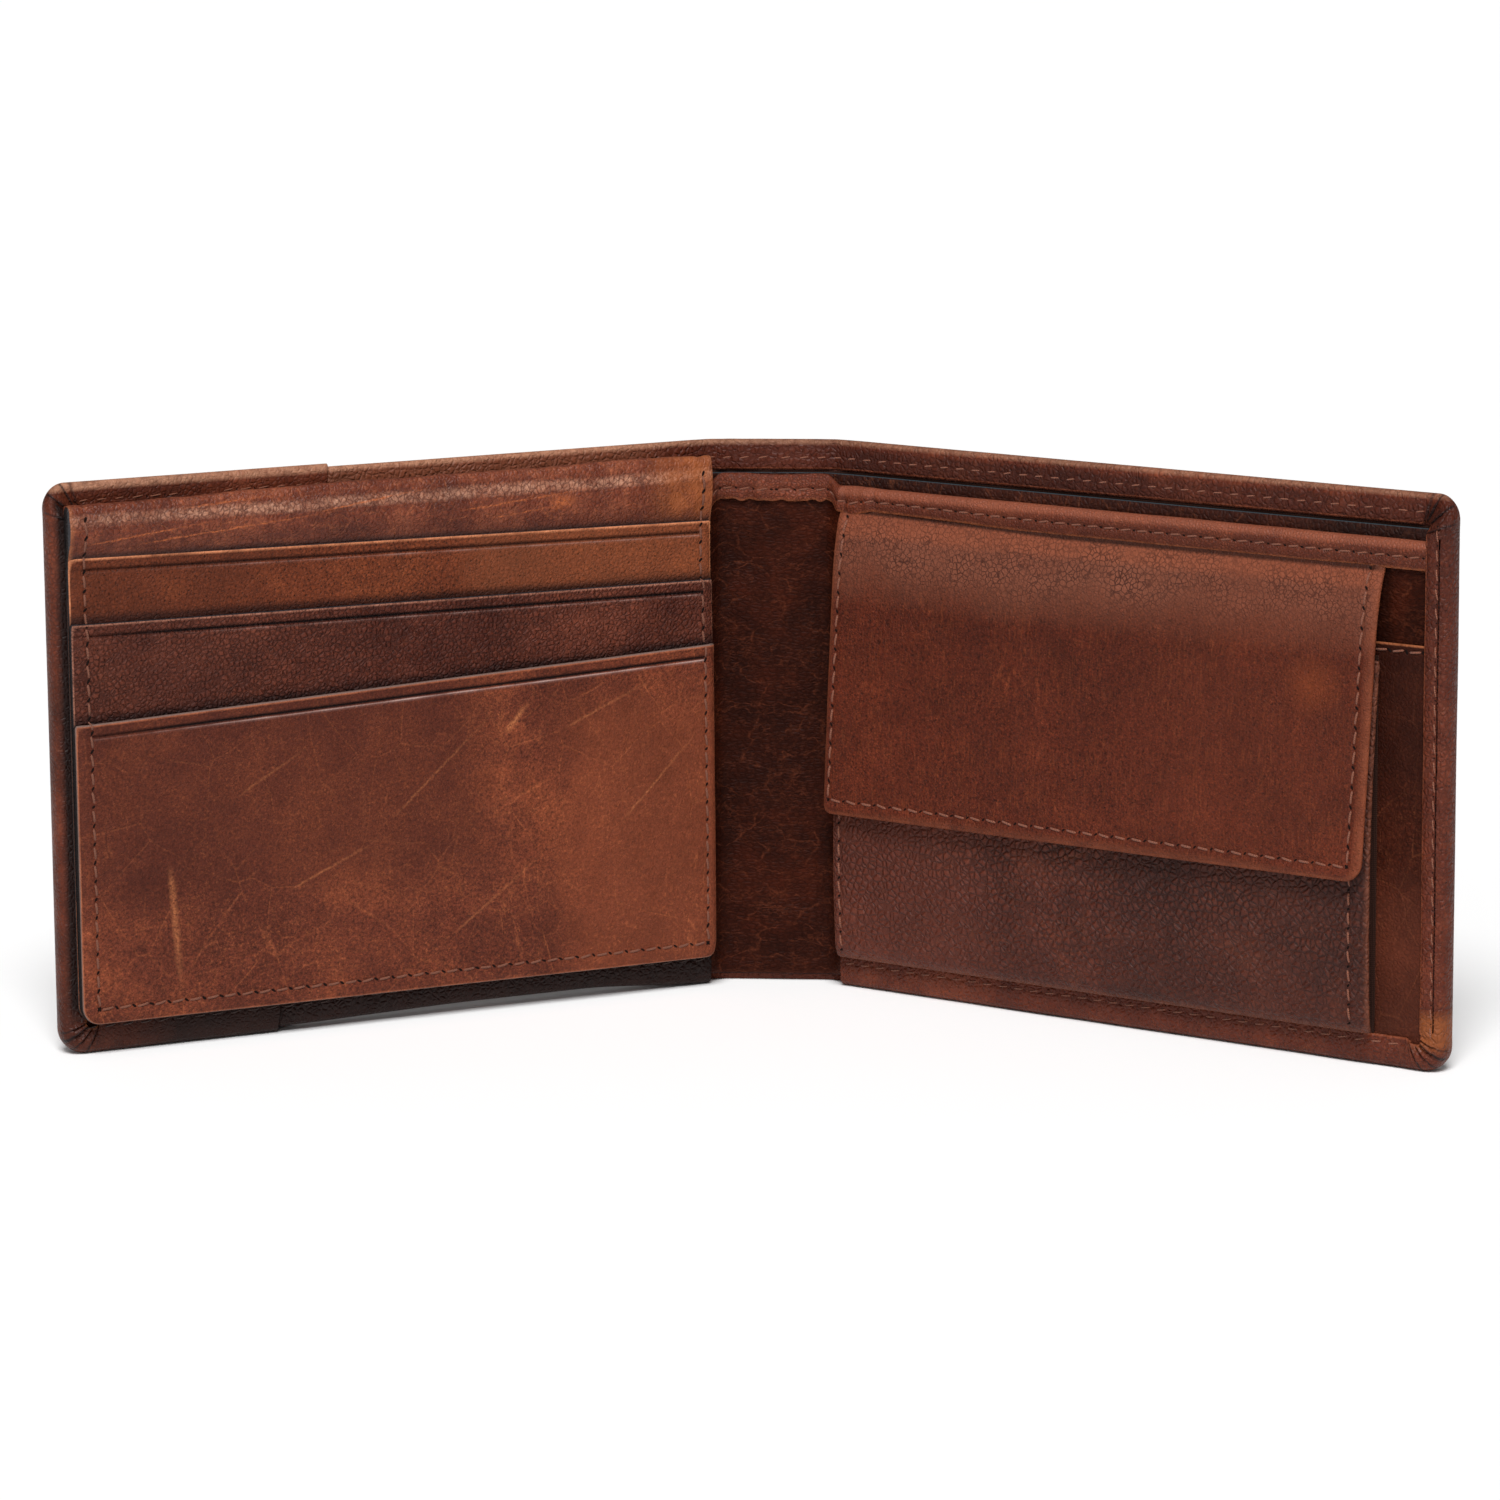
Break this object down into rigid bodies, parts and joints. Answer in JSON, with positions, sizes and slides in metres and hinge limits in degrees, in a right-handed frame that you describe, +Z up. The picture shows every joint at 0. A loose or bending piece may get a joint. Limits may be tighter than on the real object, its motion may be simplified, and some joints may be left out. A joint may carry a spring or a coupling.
{
  "type": "bifold wallet",
  "caption": "Leather bifold wallet with a flip-up card flap, a coin pocket closed by a snap flap, a slip pocket and a divided note compartment.",
  "frame": {"origin": "centre of the bounding box in X and Y, on the surface the wallet stands on", "axes": "+Z up along the fold lines; +X from the card flap's wing to the coin pocket's wing; the inside faces -Y"},
  "size_m": [0.2198, 0.063, 0.0905],
  "materials": {
    "cover_leather": "waxed, pebbled grain",
    "lining_cloth": "matt woven lining",
    "divider_leather": "matt, with a dyed cut edge",
    "inner_leather": "waxed, smooth",
    "binding_leather": "waxed, wrinkled at the folds",
    "card_flap_leather": "pull-up leather, creased",
    "slot_top_leather": "pull-up leather",
    "slot_middle_leather": "pull-up leather, dark",
    "coin_front_leather": "pebbled grain",
    "coin_flap_leather": "pull-up leather, fine pores",
    "thread": "matt sewing thread",
    "snap_metal": "antique brass"
  },
  "bodies": {
    "spine": {"cover_spine": "cover_leather", "cover_lining_spine": "lining_cloth", "note_divider_spine": "divider_leather", "inner_panel_spine": "inner_leather", "inner_binding_spine": "binding_leather", "cover_top_thread_spine": "thread", "inner_top_thread_spine": "thread"},
    "left_wing": {"cover_left": "cover_leather", "cover_left_end": "cover_leather", "cover_seam_thread": "thread", "cover_lining_left": "lining_cloth", "note_divider_left": "divider_leather", "inner_lining_left": "lining_cloth", "inner_panel_left": "inner_leather", "inner_binding_left": "binding_leather", "card_flap_tab": "inner_leather", "border_thread_left": "thread", "cover_top_thread_left": "thread", "inner_top_thread_left": "thread"},
    "right_wing": {"cover_right": "cover_leather", "cover_lining_right": "lining_cloth", "note_divider_right": "divider_leather", "inner_lining_right": "lining_cloth", "inner_panel_right": "inner_leather", "inner_binding_right": "binding_leather", "slip_pocket": "inner_leather", "slip_pocket_thread": "thread", "coin_pocket_back": "lining_cloth", "coin_gusset_inner": "lining_cloth", "coin_gusset_outer": "lining_cloth", "coin_flap_tab": "inner_leather", "border_thread_right": "thread", "cover_top_thread_right": "thread", "inner_top_thread_right": "thread"},
    "card_flap": {"card_flap_leather": "card_flap_leather", "card_slot_top": "slot_top_leather", "card_slot_middle": "slot_middle_leather", "card_slot_front": "card_flap_leather", "card_flap_thread": "thread"},
    "coin_front": {"coin_pocket_front": "coin_front_leather", "coin_pocket_thread_inner": "thread", "coin_pocket_thread_outer": "thread", "snap_stud": "snap_metal", "snap_post": "snap_metal"},
    "coin_flap": {"coin_flap_leather": "coin_flap_leather", "coin_flap_lining": "lining_cloth", "snap_socket": "snap_metal", "coin_flap_thread": "thread"}
  },
  "joints": [
    {"name": "right_fold", "type": "hinge", "parent": "spine", "child": "right_wing", "pos_m": [0.0105, 0.03102, 0], "axis": [0, 0, 1], "range_deg": [-60, 30]},
    {"name": "left_fold", "type": "hinge", "parent": "spine", "child": "left_wing", "pos_m": [-0.0105, 0.03102, 0], "axis": [0, 0, -1], "range_deg": [-60, 30]},
    {"name": "card_flap_hinge", "type": "hinge", "parent": "left_wing", "child": "card_flap", "pos_m": [-0.05702, -0.0026, 0.0867], "axis": [-0.866, -0.5, 0], "range_deg": [0, 178]},
    {"name": "coin_flap_hinge", "type": "hinge", "parent": "right_wing", "child": "coin_flap", "pos_m": [0.05352, 0.00053, 0.079], "axis": [-0.866, 0.5, 0], "range_deg": [0, 170]},
    {"name": "coin_pocket_mouth", "type": "hinge", "parent": "right_wing", "child": "coin_front", "pos_m": [0.05332, -0.00121, 0.006], "axis": [0.866, -0.5, 0], "range_deg": [0, 7.5], "deforming": ["coin_gusset_inner", "coin_gusset_outer"]}
  ],
  "couplings": [
    {"joint": "left_fold", "follows": "right_fold", "ratio": 1},
    {"joint": "coin_pocket_mouth", "follows": "coin_flap_hinge", "ratio": 0.0441}
  ]
}
